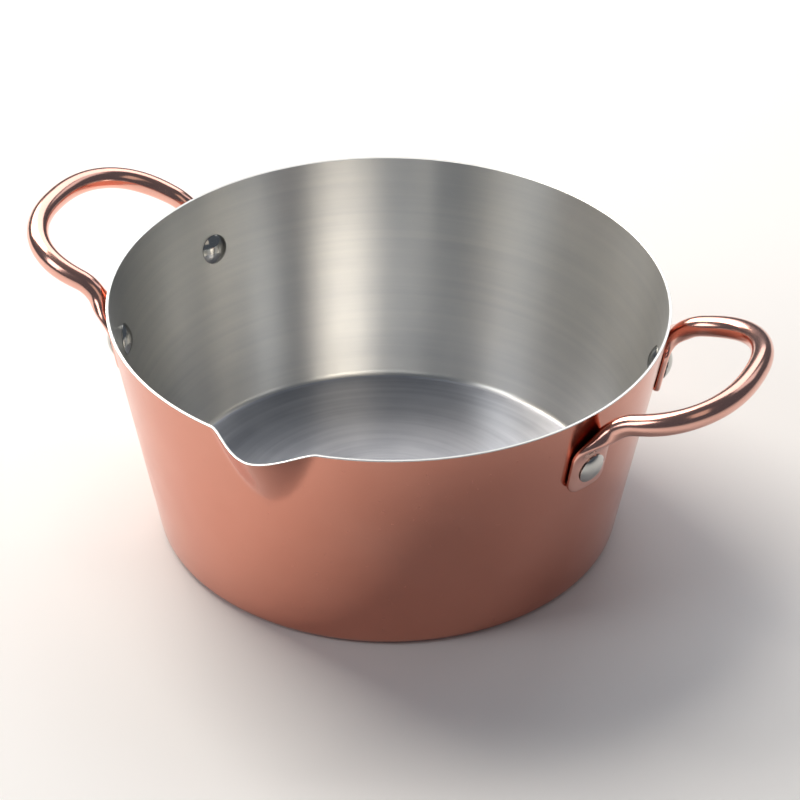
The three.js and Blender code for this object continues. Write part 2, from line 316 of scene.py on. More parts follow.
# %% [markdown]
# ### Buffed copper
# The handles are round copper rod, buffed on a soft wheel until they are almost a mirror. They
# show broad soft ripples from hand buffing, very fine scratches, patches that are a little duller,
# and a deeper red where the copper reflects itself. That red comes from the light alone.

# %% Buffed copper
RIPPLE_SIZE = 7 * MM
RIPPLE_DEPTH = 0.12 * MM
SCRATCH_SIZE = 0.8 * MM  # drawn coarse, because the real ones are too fine to show
SCRATCH_DEPTH = 0.02 * MM
PATCH_SIZE = 16 * MM
BUFFED_ROUGHNESS = (0.12, 0.24)


def buffed_copper():
    """The copper rod of the handles."""
    material, tree, shader, place = new_material("buffed_copper")
    ripple = add_node(
        tree, "ShaderNodeTexNoise", {"Vector": place, "Scale": 1 / RIPPLE_SIZE, "Detail": 1.0}
    )
    scratches = add_node(
        tree, "ShaderNodeTexNoise", {"Vector": place, "Scale": 1 / SCRATCH_SIZE, "Detail": 6.0}
    )
    patches = add_node(
        tree, "ShaderNodeTexNoise", {"Vector": place, "Scale": 1 / PATCH_SIZE, "Detail": 4.0}
    )
    colour = add_node(
        tree,
        "ShaderNodeMix",
        {"Factor": patches.outputs[0], "A": linear("#f0bfb0"), "B": linear("#e2a898")},
        data_type="RGBA",
    )
    tree.links.new(colour.outputs["Result"], shader.inputs["Base Color"])
    rough = add_node(
        tree,
        "ShaderNodeMapRange",
        {
            "Value": patches.outputs[0],
            "To Min": BUFFED_ROUGHNESS[0],
            "To Max": BUFFED_ROUGHNESS[1],
        },
    )
    tree.links.new(rough.outputs[0], shader.inputs["Roughness"])
    wave = add_node(
        tree,
        "ShaderNodeBump",
        {"Height": ripple.outputs[0], "Strength": 0.25, "Distance": RIPPLE_DEPTH},
    )
    hair = add_node(
        tree,
        "ShaderNodeBump",
        {
            "Height": scratches.outputs[0],
            "Normal": wave.outputs[0],
            "Strength": 0.04,
            "Distance": SCRATCH_DEPTH,
        },
    )
    tree.links.new(hair.outputs[0], shader.inputs["Normal"])
    shader.inputs["Metallic"].default_value = 1.0
    return material


# %% [markdown]
# ### Brushed steel
# The lining is stainless steel, brushed while the pan turns, so that its lines are rings on the
# floor and run level round the wall. Such a surface spreads light across its lines, so that a lamp
# becomes a tall soft streak on the wall. The principled shader's anisotropy does that, with a
# tangent that turns about the pan's axis. The floor is brushed with a softer wheel than the wall:
# it spreads light nearly evenly, and its rings show as fine light and dark lines.
# The floor's steel is also coloured darker and bluer than the wall's: that is painted shade.

# %% Brushed steel
BRUSH_TURN = 2.0 * MM  # what one radian round the pan counts as on the steel
BAND_WIDTH = 3.2 * MM  # of the lighter and darker bands of rings
STEEL_CLOUD_SIZE = 30 * MM
FIRST_TONE, LAST_TONE = 0.12, 0.4  # pattern values that take the first and the second colour
SPREAD_TURN = 0.25  # of a full turn, so that light spreads across the rings


def brushed_steel(name, colours, spread, roughness, ring_depth):
    """The lining's steel. Spread is how much further light spreads across the rings than along."""
    material, tree, shader, place = new_material(name)
    rings = ring_coordinates(tree, place, BRUSH_TURN)
    lines = add_node(
        tree, "ShaderNodeTexNoise", {"Vector": rings, "Scale": 1 / LINE_PITCH, "Detail": 2.0}
    )
    bands = add_node(
        tree, "ShaderNodeTexNoise", {"Vector": rings, "Scale": 1 / BAND_WIDTH, "Detail": 3.0}
    )
    clouds = add_node(
        tree, "ShaderNodeTexNoise", {"Vector": place, "Scale": 1 / STEEL_CLOUD_SIZE, "Detail": 3.0}
    )
    tone = add_node(
        tree, "ShaderNodeMath", {0: clouds.outputs[0], 1: bands.outputs[0]}, operation="MULTIPLY"
    )
    contrast = add_node(
        tree,
        "ShaderNodeMapRange",
        {"Value": tone.outputs[0], "From Min": FIRST_TONE, "From Max": LAST_TONE},
    )
    colour = add_node(
        tree,
        "ShaderNodeMix",
        {"Factor": contrast.outputs[0], "A": linear(colours[0]), "B": linear(colours[1])},
        data_type="RGBA",
    )
    tree.links.new(colour.outputs["Result"], shader.inputs["Base Color"])
    rough = add_node(
        tree,
        "ShaderNodeMapRange",
        {"Value": bands.outputs[0], "To Min": roughness[0], "To Max": roughness[1]},
    )
    tree.links.new(rough.outputs[0], shader.inputs["Roughness"])
    bump = add_node(
        tree,
        "ShaderNodeBump",
        {"Height": lines.outputs[0], "Strength": 0.2, "Distance": ring_depth},
    )
    tree.links.new(bump.outputs[0], shader.inputs["Normal"])
    tangent = add_node(tree, "ShaderNodeTangent", direction_type="RADIAL", axis="Z")
    tree.links.new(tangent.outputs[0], shader.inputs["Tangent"])
    shader.inputs["Anisotropic"].default_value = spread
    shader.inputs["Anisotropic Rotation"].default_value = SPREAD_TURN
    shader.inputs["Metallic"].default_value = 1.0
    return material


# %% [markdown]
# ### Polished steel
# The rivets are stainless steel, set with a hollow tool that leaves a smooth dome. They are
# bright, with a few shallow marks from the tool.

# %% Polished steel
MARK_SIZE = 2.4 * MM
MARK_DEPTH = 0.12 * MM
DOME_ROUGHNESS = (0.05, 0.2)


def polished_steel():
    """The steel of the rivets."""
    material, tree, shader, place = new_material("polished_steel")
    marks = add_node(
        tree, "ShaderNodeTexNoise", {"Vector": place, "Scale": 1 / MARK_SIZE, "Detail": 3.0}
    )
    rough = add_node(
        tree,
        "ShaderNodeMapRange",
        {"Value": marks.outputs[0], "To Min": DOME_ROUGHNESS[0], "To Max": DOME_ROUGHNESS[1]},
    )
    tree.links.new(rough.outputs[0], shader.inputs["Roughness"])
    bump = add_node(
        tree,
        "ShaderNodeBump",
        {"Height": marks.outputs[0], "Strength": 0.35, "Distance": MARK_DEPTH},
    )
    tree.links.new(bump.outputs[0], shader.inputs["Normal"])
    shader.inputs["Base Color"].default_value = linear("#bebdb9")
    shader.inputs["Metallic"].default_value = 1.0
    return material


# %% [markdown]
# Each finish is made once and shared. The steel of the lining is made twice, with one brushing for
# the wall and another for the floor. The floor's copy also has darker, bluer colours: painted shade.

# %% Make the finishes
BODY_COPPER = satin_polished_copper()
HANDLE_COPPER = buffed_copper()
WALL_BRUSHING = brushed_steel(
    "brushed_steel_wall",
    colours=("#e6e5e1", "#dadad8"),
    spread=0.9,
    roughness=(0.3, 0.34),
    ring_depth=0.012 * MM,
)
# The floor's colours are darker and bluer than the wall's: painted shade on the pan's floor.
FLOOR_BRUSHING_AND_SHADE = brushed_steel(
    "brushed_steel_floor_and_shade",
    colours=("#d9dbe2", "#bcbfc8"),
    spread=0.3,
    roughness=(0.36, 0.5),
    ring_depth=0.06 * MM,
)
RIVET_STEEL = polished_steel()
print("materials:", [material.name for material in bpy.data.materials])

# %% [markdown]
# ## The body
# A pan body is spun from a disc, so its outline turned about the axis gives nearly all of it. The
# lip is pressed afterwards between two shaped blocks. Both steps follow a rule: a grid is wrapped
# round the axis, each of its columns takes the outline's points, and then points near the lip are
# pushed out and a little down. Geometry Nodes do that for the copper and for the steel, with the
# same push, so the two sheets stay together.

# %% The tree that turns an outline and presses the lip
LIP_HALF_WIDTH = 19.8 * MM  # at the rim
LIP_DEPTH = 26 * MM  # from the rim down to where the push begins
LIP_INPUTS = {
    "Lip Reach": LIP_REACH,  # how far the rim is pushed out
    "Lip Drop": 2 * MM,  # how far the rim is pulled down at its tip
    "Lip Half Angle": math.asin(LIP_HALF_WIDTH / RIM_RADIUS),
    "Lip Foot": BODY_HEIGHT - LIP_DEPTH,
    "Lip Top": BODY_HEIGHT,
    "Lip Crown": 1.75,  # higher is squarer across the lip
    "Lip Edge": 1.6,  # higher is softer where the lip meets the rim
    "Lip Taper": 0.45,  # how fast the lip widens above its foot
    "Lip Rise": 1.15,  # 1 is a straight front line
}


def grid_columns(tree, outline, sides):
    """A grid with a row for each outline point, and the row and column of each of its points."""
    count = add_node(tree, "GeometryNodeAttributeDomainSize", {"Geometry": outline})
    rows = count.outputs["Point Count"]
    columns = add_node(tree, "ShaderNodeMath", {0: sides, 1: 1.0})
    grid = add_node(
        tree, "GeometryNodeMeshGrid", {"Vertices X": columns.outputs[0], "Vertices Y": rows}
    )
    index = add_node(tree, "GeometryNodeInputIndex").outputs[0]
    row = add_node(tree, "ShaderNodeMath", {0: index, 1: rows}, operation="MODULO")
    share = add_node(tree, "ShaderNodeMath", {0: index, 1: rows}, operation="DIVIDE")
    column = add_node(tree, "ShaderNodeMath", {0: share.outputs[0]}, operation="FLOOR")
    return grid.outputs["Mesh"], row.outputs[0], column.outputs[0]


def turned_tree():
    """Turns an outline about the axis, and pushes the points near the lip out and down."""
    sockets = {"Sides": "Int", "Crowding": "Float", "Finish": "Material"}
    sockets.update({name: "Float" for name in LIP_INPUTS})
    tree, given = new_tree("turned_and_pressed", sockets)
    grid, row, column = grid_columns(tree, given["Geometry"], given["Sides"])
    position = add_node(tree, "GeometryNodeInputPosition").outputs[0]
    outline = add_node(
        tree,
        "GeometryNodeSampleIndex",
        {"Geometry": given["Geometry"], "Value": position, "Index": row},
        data_type="FLOAT_VECTOR",
    )
    point = add_node(tree, "ShaderNodeSeparateXYZ", {0: outline.outputs[0]}).outputs
    radius, height = point[0], point[2]

    # The angle is 0 at the lip, and columns crowd towards it.
    even = add_node(
        tree,
        "ShaderNodeMapRange",
        {"Value": column, "From Max": given["Sides"], "To Min": -math.pi, "To Max": math.pi},
    ).outputs[0]
    wave = add_node(tree, "ShaderNodeMath", {0: even}, operation="SINE").outputs[0]
    pull = add_node(tree, "ShaderNodeMath", {0: wave, 1: given["Crowding"]}, operation="MULTIPLY")
    angle = add_node(tree, "ShaderNodeMath", {0: even, 1: pull.outputs[0]}, operation="SUBTRACT")
    angle = angle.outputs[0]

    # How far up the lip, and how far across it, each from 0 to 1.
    rise = add_node(
        tree,
        "ShaderNodeMapRange",
        {"Value": height, "From Min": given["Lip Foot"], "From Max": given["Lip Top"]},
    ).outputs[0]
    spread = add_node(tree, "ShaderNodeMath", {0: rise, 1: given["Lip Taper"]}, operation="POWER")
    half = add_node(
        tree,
        "ShaderNodeMath",
        {0: spread.outputs[0], 1: given["Lip Half Angle"]},
        operation="MULTIPLY",
    )
    across = add_node(tree, "ShaderNodeMath", {0: angle, 1: half.outputs[0]}, operation="DIVIDE")
    size = add_node(tree, "ShaderNodeMath", {0: across.outputs[0]}, operation="ABSOLUTE")
    capped = add_node(tree, "ShaderNodeMath", {0: size.outputs[0], 1: 1.0}, operation="MINIMUM")
    crown = add_node(
        tree, "ShaderNodeMath", {0: capped.outputs[0], 1: given["Lip Crown"]}, operation="POWER"
    )
    left = add_node(tree, "ShaderNodeMath", {0: 1.0, 1: crown.outputs[0]}, operation="SUBTRACT")
    edge = add_node(
        tree, "ShaderNodeMath", {0: left.outputs[0], 1: given["Lip Edge"]}, operation="POWER"
    )
    lift = add_node(tree, "ShaderNodeMath", {0: rise, 1: given["Lip Rise"]}, operation="POWER")
    share = add_node(
        tree, "ShaderNodeMath", {0: edge.outputs[0], 1: lift.outputs[0]}, operation="MULTIPLY"
    ).outputs[0]

    # The point is pushed out and down, and turned to its angle.
    reach = add_node(tree, "ShaderNodeMath", {0: share, 1: given["Lip Reach"]}, operation="MULTIPLY")
    out = add_node(tree, "ShaderNodeMath", {0: radius, 1: reach.outputs[0]}).outputs[0]
    drop = add_node(tree, "ShaderNodeMath", {0: share, 1: given["Lip Drop"]}, operation="MULTIPLY")
    level = add_node(tree, "ShaderNodeMath", {0: height, 1: drop.outputs[0]}, operation="SUBTRACT")
    sine = add_node(tree, "ShaderNodeMath", {0: angle}, operation="SINE")
    cosine = add_node(tree, "ShaderNodeMath", {0: angle}, operation="COSINE")
    x = add_node(tree, "ShaderNodeMath", {0: out, 1: sine.outputs[0]}, operation="MULTIPLY")
    toward = add_node(tree, "ShaderNodeMath", {0: out, 1: cosine.outputs[0]}, operation="MULTIPLY")
    y = add_node(tree, "ShaderNodeMath", {0: toward.outputs[0], 1: -1.0}, operation="MULTIPLY")
    place = add_node(
        tree, "ShaderNodeCombineXYZ", {0: x.outputs[0], 1: y.outputs[0], 2: level.outputs[0]}
    )
    moved = add_node(
        tree, "GeometryNodeSetPosition", {"Geometry": grid, "Position": place.outputs[0]}
    )
    finish_tree(tree, moved.outputs[0], given["Finish"])
    return tree


TURNED = turned_tree()
print("tree", TURNED.name, "has", len(TURNED.nodes), "nodes")

# %% [markdown]
# The outline of each sheet is drawn once, from the axis along the floor, round the corner and up
# the wall. Rows are close together where the lip bends the wall. The steel is turned over the
# copper's edge at the rim, where both of its edges are slightly rounded.

# %% Outlines of the two sheets
LIP_CROWDING = 0.55  # how strongly the sides gather at the lip
FLOOR_ROWS = 8
CORNER_ROWS = 10
WALL_ROWS = 12  # below the lip
LIP_ROWS = 26
ROUND_ROWS = 3
BODY_SIDES = 300


def sheet_side(inset, floor, top):
    """One side of a sheet, this far inside the outer wall line, as (radius, 0, height) points."""
    turn = math.pi / 2 - WALL_LEAN
    radius = CORNER_RADIUS - inset
    corner = wall_radius(floor) - inset - radius * math.tan(turn / 2)
    side = [(corner * row / FLOOR_ROWS, 0, floor) for row in range(FLOOR_ROWS)]
    for row in range(CORNER_ROWS + 1):
        angle = turn * row / CORNER_ROWS
        side.append((corner + radius * math.sin(angle), 0, floor + radius * (1 - math.cos(angle))))
    start, foot = side[-1][2], LIP_INPUTS["Lip Foot"]
    heights = [start + (foot - start) * row / WALL_ROWS for row in range(1, WALL_ROWS)]
    heights += [foot + (top - foot) * row / LIP_ROWS for row in range(LIP_ROWS + 1)]
    return side + [(wall_radius(z) - inset, 0, z) for z in heights]


def rounded_rim(inner, outer):
    """The rim from its inner edge to its outer one, level on top, with both edges rounded."""
    rim = []
    for edge, start in ((inner + RIM_ROUND, math.pi), (outer - RIM_ROUND, math.pi / 2)):
        for row in range(ROUND_ROWS + 1):
            angle = start - math.pi / 2 * row / ROUND_ROWS
            z = BODY_HEIGHT - RIM_ROUND + RIM_ROUND * math.sin(angle)
            rim.append((edge + RIM_ROUND * math.cos(angle), 0, z))
    return rim


def copper_outline():
    """Along the underside and up the outside, then down the face that the steel is bonded to."""
    return sheet_side(0, 0, COPPER_TOP) + sheet_side(COPPER, COPPER_FLOOR, COPPER_TOP)[::-1]


def steel_outline():
    """Up the bonded face, out over the copper's edge, round the rim and down the inside."""
    inner = COPPER + STEEL
    bonded = sheet_side(COPPER, COPPER_FLOOR, COPPER_TOP)
    over_edge = [(wall_radius(COPPER_TOP), 0, COPPER_TOP)]
    rim = rounded_rim(wall_radius(BODY_HEIGHT) - inner, wall_radius(BODY_HEIGHT))
    inside = sheet_side(inner, COPPER_FLOOR + STEEL_FLOOR, BODY_HEIGHT - RIM_ROUND)
    return bonded + over_edge + rim[::-1] + inside[::-1]


print("outline points:", len(copper_outline()), "of copper,", len(steel_outline()), "of steel")


# %% Make the two sheets
def body_sheet(name, outline, material):
    """One sheet of the body, from its outline."""
    values = {"Sides": BODY_SIDES, "Crowding": LIP_CROWDING, "Finish": material}
    piece = grow(wire(name, outline), TURNED, {**LIP_INPUTS, **values})
    print_volume(piece)
    return piece


copper_body = body_sheet("copper_body", copper_outline(), BODY_COPPER)
steel_inside = body_sheet("steel_inside", steel_outline(), WALL_BRUSHING)

# %% [markdown]
# The lining is one sheet, but its floor is brushed with the softer wheel, and its colours are darker
# and bluer, which is painted shade; so the faces of the floor take the second finish. They are told
# apart from the wall's by their height.

# %% Give the floor its own finish
FLOOR_FINISH_TOP = COPPER_FLOOR + STEEL_FLOOR + 0.5 * MM  # just above the start of the corner
steel_inside.data.materials.append(FLOOR_BRUSHING_AND_SHADE)
floor_faces = [face for face in steel_inside.data.polygons if face.center.z < FLOOR_FINISH_TOP]
for face in floor_faces:
    face.material_index = 1
print(len(floor_faces), "faces of the floor")

# %% [markdown]
# ## The handles
# Each handle is one length of round rod. Its two ends are beaten flat from the front into tabs,
# the tabs are bent down against the wall, and the rod is bowed into a loop. The section changes
# all the way from a flat tab to a round rod, so a plain tube along a curve can't make it.
# Instead the script works out where each section lies and how wide, thick and square it is, and
# a tree wraps a grid over those sections.

# %% Sizes of a handle
ROD = 4.0 * MM  # half the rod's diameter
NECK = 3.6 * MM  # the same where the round rod meets the beaten length
NECK_LENGTH = 22 * MM  # over which the neck grows to the full rod
HANDLE_SPREAD = 68 * MM  # between the middle lines of the two arms
BOW_DEPTH = 29 * MM  # from the ends of the arms out to the middle of the bow
BOW_SQUARENESS = 2.3  # 2 is an ellipse, and higher is squarer
HANDLE_TILT = math.radians(16.3)  # the loop rises outwards
TAB_LENGTH = 28.6 * MM  # from its lower end up to the corner that the bend rounds off
TAB_WIDTH = 17.4 * MM
TAB_THICKNESS = 3 * MM
TAB_CORNER = 4 * MM  # rounding of the tab's lower corners, seen from the front
TAB_EDGE = 0.9 * MM  # rounding of the edge at the tab's lower end
TAB_SQUARENESS = 3.6  # of its section
RIVET_INSET = 9 * MM  # from the lower end of a tab
BEND_LENGTH = 12 * MM  # from the corner back to each end of the bend
BEND_FULLNESS = 0.6  # how far the bend reaches into its corner
ARM_LENGTH = 0.6 * MM  # the straight stretch from the bend to the bow
FORGED_FROM = 14.5 * MM  # the flat part of the tab ends here
FORGED_TO = 29.5 * MM  # the rod is round from here
SEAT_GAP = 0.12 * MM  # a tab stands this far off the wall

TAB_STEPS = 40  # points along each stretch of the middle line
BEND_STEPS = 120
ARM_STEPS = 4
BOW_STEPS = 400
SECTION_STEP = 1.0 * MM  # between two sections
END_ROWS = 8  # more sections, in the rounded end of a tab
HANDLE_SIDES = 40

RIVET_HEIGHT = rivet_middle.z
RIVET_ANGLE = math.atan2(rivet_middle.y, rivet_middle.x)
print("rivets", round(RIVET_HEIGHT / MM, 1), "mm up,", round(math.degrees(RIVET_ANGLE), 1), "degrees")

# %% [markdown]
# The middle line of half a handle goes up the tab, round the bend, along the arm and round half
# of the bow. The back of the rod is straight from the tab into the bend, so the line runs half a
# tab's thickness under the back, and each section is then centred by its own thickness.


# %% The middle line of half a handle
def wall_frame():
    """A rivet's point on the wall, and the directions up the wall, out of it and across it."""
    level = Vector((math.cos(RIVET_ANGLE), math.sin(RIVET_ANGLE), 0))
    up = Vector((0, 0, 1))
    along = level * math.sin(WALL_LEAN) + up * math.cos(WALL_LEAN)
    out = level * math.cos(WALL_LEAN) - up * math.sin(WALL_LEAN)
    across = Vector((-math.sin(RIVET_ANGLE), math.cos(RIVET_ANGLE), 0))
    on_wall = level * wall_radius(RIVET_HEIGHT) + up * RIVET_HEIGHT
    return on_wall, along, out, across


def half_line():
    """Closely spaced points from the lower end of the tab to the middle of the bow."""
    on_wall, along, out, _ = wall_frame()
    corner = on_wall + out * (SEAT_GAP + TAB_THICKNESS / 2) + along * (TAB_LENGTH - RIVET_INSET)

    def on_loop(x, y):
        """A point of the tilted loop."""
        return Vector((x, y, corner.z + math.tan(HANDLE_TILT) * (x - corner.x)))

    outwards = Vector((math.cos(HANDLE_TILT), 0, math.sin(HANDLE_TILT)))
    tab_end = corner - along * TAB_LENGTH
    bend_start = corner - along * BEND_LENGTH
    bend_end = on_loop(corner.x + BEND_LENGTH * math.cos(HANDLE_TILT), HANDLE_SPREAD / 2)
    pull = BEND_LENGTH * BEND_FULLNESS
    pulls = (bend_start, bend_start + along * pull, bend_end - outwards * pull, bend_end)
    bow_x = bend_end.x + ARM_LENGTH
    power = 2 / BOW_SQUARENESS

    points = [tab_end.lerp(bend_start, i / TAB_STEPS) for i in range(TAB_STEPS)]
    for i in range(BEND_STEPS):
        t = i / BEND_STEPS
        weights = ((1 - t) ** 3, 3 * t * (1 - t) ** 2, 3 * t * t * (1 - t), t**3)
        points.append(sum((w * p for w, p in zip(weights, pulls)), Vector()))
    arm_end = on_loop(bow_x, HANDLE_SPREAD / 2)
    points += [bend_end.lerp(arm_end, i / ARM_STEPS) for i in range(ARM_STEPS)]
    for i in range(BOW_STEPS + 1):
        angle = math.pi / 2 * i / BOW_STEPS
        x = bow_x + BOW_DEPTH * math.sin(angle) ** power
        y = HANDLE_SPREAD / 2 * max(math.cos(angle), 0) ** power
        points.append(on_loop(x, y))
    return points


def spaced(points, distances):
    """Points and directions at these distances along a line of points."""
    found = []
    travelled, i = 0.0, 0
    for distance in distances:
        while i < len(points) - 2 and travelled + (points[i + 1] - points[i]).length < distance:
            travelled += (points[i + 1] - points[i]).length
            i += 1
        piece = points[i + 1] - points[i]
        found.append((points[i] + piece.normalized() * (distance - travelled), piece.normalized()))
    return found


print("half a handle's middle line has", len(half_line()), "points")


# %% Sections along a whole handle
def smooth_step(value, low, high):
    """From 0 at the low value to 1 at the high one, level at both."""
    share = min(max((value - low) / (high - low), 0), 1)
    return share * share * (3 - 2 * share)


def rounded_off(distance, radius):
    """How much a rounded end of this radius takes off at a distance from the end."""
    short = max(radius - distance, 0)
    return radius - math.sqrt(max(radius * radius - short * short, 0))


def section_size(distance):
    """Half width, half thickness before and after the end's rounding, squareness and roundness."""
    roundness = smooth_step(distance, FORGED_FROM, FORGED_TO)
    rod = NECK + (ROD - NECK) * smooth_step(distance, FORGED_TO, FORGED_TO + NECK_LENGTH)
    width = TAB_WIDTH / 2 + (rod - TAB_WIDTH / 2) * roundness - rounded_off(distance, TAB_CORNER)
    full = TAB_THICKNESS / 2 + (rod - TAB_THICKNESS / 2) * roundness
    squareness = TAB_SQUARENESS + (2 - TAB_SQUARENESS) * roundness
    return width, full, full - rounded_off(distance, TAB_EDGE), squareness, roundness


def half_sections():
    """Centre, width vector, thickness vector, hug and power of each section of half a handle."""
    line = half_line()
    total = sum((b - a).length for a, b in zip(line, line[1:]))
    _, _, _, across = wall_frame()
    loop_up = Vector((-math.sin(HANDLE_TILT), 0, math.cos(HANDLE_TILT)))
    count = round(total / SECTION_STEP)
    turns = [math.pi / 2 * i / END_ROWS for i in range(END_ROWS)]
    distances = [TAB_CORNER * (1 - math.cos(turn)) for turn in turns]
    distances += [TAB_CORNER + (total - TAB_CORNER) * i / count for i in range(count + 1)]
    sections = []
    for distance, (spine, along) in zip(distances, spaced(line, distances)):
        width, full, half, squareness, roundness = section_size(distance)
        level = across.lerp(loop_up.cross(along).normalized(), roundness)
        face = level.cross(along).normalized()
        side = along.cross(face).normalized()
        centre = spine + face * (full - TAB_THICKNESS / 2)
        sag = width * width / (2 * wall_radius(RIVET_HEIGHT)) * (1 - roundness)
        sections.append((centre, side * width, face * half, face * -sag, 2 / squareness))
    first = sections[0]
    closing = (first[0], first[1] * 0, first[2] * 0, first[3] * 0, first[4])
    return [closing] + sections


def mirrored(section):
    """A section of the other half of the handle."""
    centre, side, face, hug, power = section
    return tuple(Vector((v.x, -v.y, v.z)) for v in (centre, side, face, hug)) + (power,)


def handle_sections(end):
    """Sections of the whole handle on the +X side (end 1) or the -X side (end -1)."""
    half = half_sections()
    whole = half + [mirrored(section) for section in half[-2::-1]]
    turned = []
    for *vectors, power in whole:
        turned.append([Vector((v.x * end, v.y * end, v.z)) for v in vectors] + [power])
    return turned


print("a handle has", len(handle_sections(1)), "sections")


# %% [markdown]
# The tree wraps each section as a superellipse: the cosine and the sine of the angle are raised to
# a power, which squares the section where the power is under 1. The flat tabs also hug the curved
# wall, so their side edges are drawn towards it by the square of the distance from the middle.


# %% The tree that wraps a rod over its sections
def forged_tree():
    """Wraps a grid over the sections that a wire's points and attributes hold."""
    tree, given = new_tree("forged_rod", {"Sides": "Int", "Finish": "Material"})
    grid, row, column = grid_columns(tree, given["Geometry"], given["Sides"])
    position = add_node(tree, "GeometryNodeInputPosition").outputs[0]
    fields = {"centre": (position, "FLOAT_VECTOR")}
    for name in ("side", "face", "hug", "power"):
        kind = "FLOAT" if name == "power" else "FLOAT_VECTOR"
        named = add_node(tree, "GeometryNodeInputNamedAttribute", {"Name": name}, data_type=kind)
        fields[name] = (named.outputs["Attribute"], kind)
    section = {}
    for name, (field, kind) in fields.items():
        sample = add_node(
            tree,
            "GeometryNodeSampleIndex",
            {"Geometry": given["Geometry"], "Value": field, "Index": row},
            data_type=kind,
        )
        section[name] = sample.outputs[0]

    # The angle runs backwards, so that the faces point outwards.
    angle = add_node(
        tree,
        "ShaderNodeMapRange",
        {"Value": column, "From Max": given["Sides"], "To Max": -FULL_TURN},
    ).outputs[0]
    shares = []
    for operation in ("COSINE", "SINE"):
        wave = add_node(tree, "ShaderNodeMath", {0: angle}, operation=operation).outputs[0]
        size = add_node(tree, "ShaderNodeMath", {0: wave}, operation="ABSOLUTE").outputs[0]
        square = add_node(tree, "ShaderNodeMath", {0: size, 1: section["power"]}, operation="POWER")
        sign = add_node(tree, "ShaderNodeMath", {0: wave}, operation="SIGN").outputs[0]
        share = add_node(
            tree, "ShaderNodeMath", {0: square.outputs[0], 1: sign}, operation="MULTIPLY"
        )
        shares.append(share.outputs[0])
    squared = add_node(tree, "ShaderNodeMath", {0: shares[0], 1: shares[0]}, operation="MULTIPLY")
    point = section["centre"]
    parts = (("side", shares[0]), ("face", shares[1]), ("hug", squared.outputs[0]))
    for name, share in parts:
        scaled = add_node(
            tree, "ShaderNodeVectorMath", {0: section[name], "Scale": share}, operation="SCALE"
        )
        added = add_node(tree, "ShaderNodeVectorMath", {0: point, 1: scaled.outputs[0]})
        point = added.outputs[0]
    moved = add_node(tree, "GeometryNodeSetPosition", {"Geometry": grid, "Position": point})
    finish_tree(tree, moved.outputs[0], given["Finish"])
    return tree


FORGED = forged_tree()
print("tree", FORGED.name, "has", len(FORGED.nodes), "nodes")


# %% Make the two handles
def loop_handle(name, end):
    """The handle on the +X side (end 1) or the -X side (end -1)."""
    sections = handle_sections(end)
    columns = list(zip(*sections))
    attributes = {"side": columns[1], "face": columns[2], "hug": columns[3], "power": columns[4]}
    start = wire(name, columns[0], attributes)
    piece = grow(start, FORGED, {"Sides": HANDLE_SIDES, "Finish": HANDLE_COPPER})
    print_volume(piece)
    return piece


handle_right = loop_handle("loop_handle_right", 1)
handle_left = loop_handle("loop_handle_left", -1)

# %% [markdown]
# ## The rivets
# Four equal rivets hold the handles. A rivet is turned from its outline and then repeated, so a
# tree is the right tool: it turns one outline, and sets a copy on each of four points that it
# places on the wall by angle. Each copy leans with the wall.

# %% Sizes and outline of a rivet
HEAD = 5.7 * MM  # half the diameter of a head
DOME = 2.3 * MM  # height of a head
HEAD_EDGE = 0.25 * MM  # height of the straight edge under the dome
SHANK = 2.5 * MM  # half the diameter of the shank
RIVET_COUNT = 4
DOME_ROWS = 14
RIVET_SIDES = 56


def dome(base, direction):
    """A domed head from its pole to the foot of its straight edge, as (radius, 0, height)."""
    rise = DOME - HEAD_EDGE
    radius = (HEAD * HEAD + rise * rise) / (2 * rise)
    full = math.asin(HEAD / radius)
    points = []
    for row in range(DOME_ROWS + 1):
        angle = full * row / DOME_ROWS
        height = HEAD_EDGE + radius * math.cos(angle) - (radius - rise)
        points.append((radius * math.sin(angle), 0, base + direction * height))
    return points + [(HEAD, 0, base)]


def rivet_outline():
    """From the pole inside the pan, along the shank, to the pole outside. Height 0 is the outer
    wall. The wall is hollow inside, so the inner head's flat base stands off it by a small sag."""
    sag = HEAD * HEAD / (2 * wall_radius(RIVET_HEIGHT))
    inner = -COPPER - STEEL - sag
    outer = SEAT_GAP + TAB_THICKNESS
    inside = dome(inner, -1)
    outside = dome(outer, 1)
    return inside + [(SHANK, 0, inner), (SHANK, 0, outer)] + outside[::-1]


print("a rivet's outline has", len(rivet_outline()), "points")


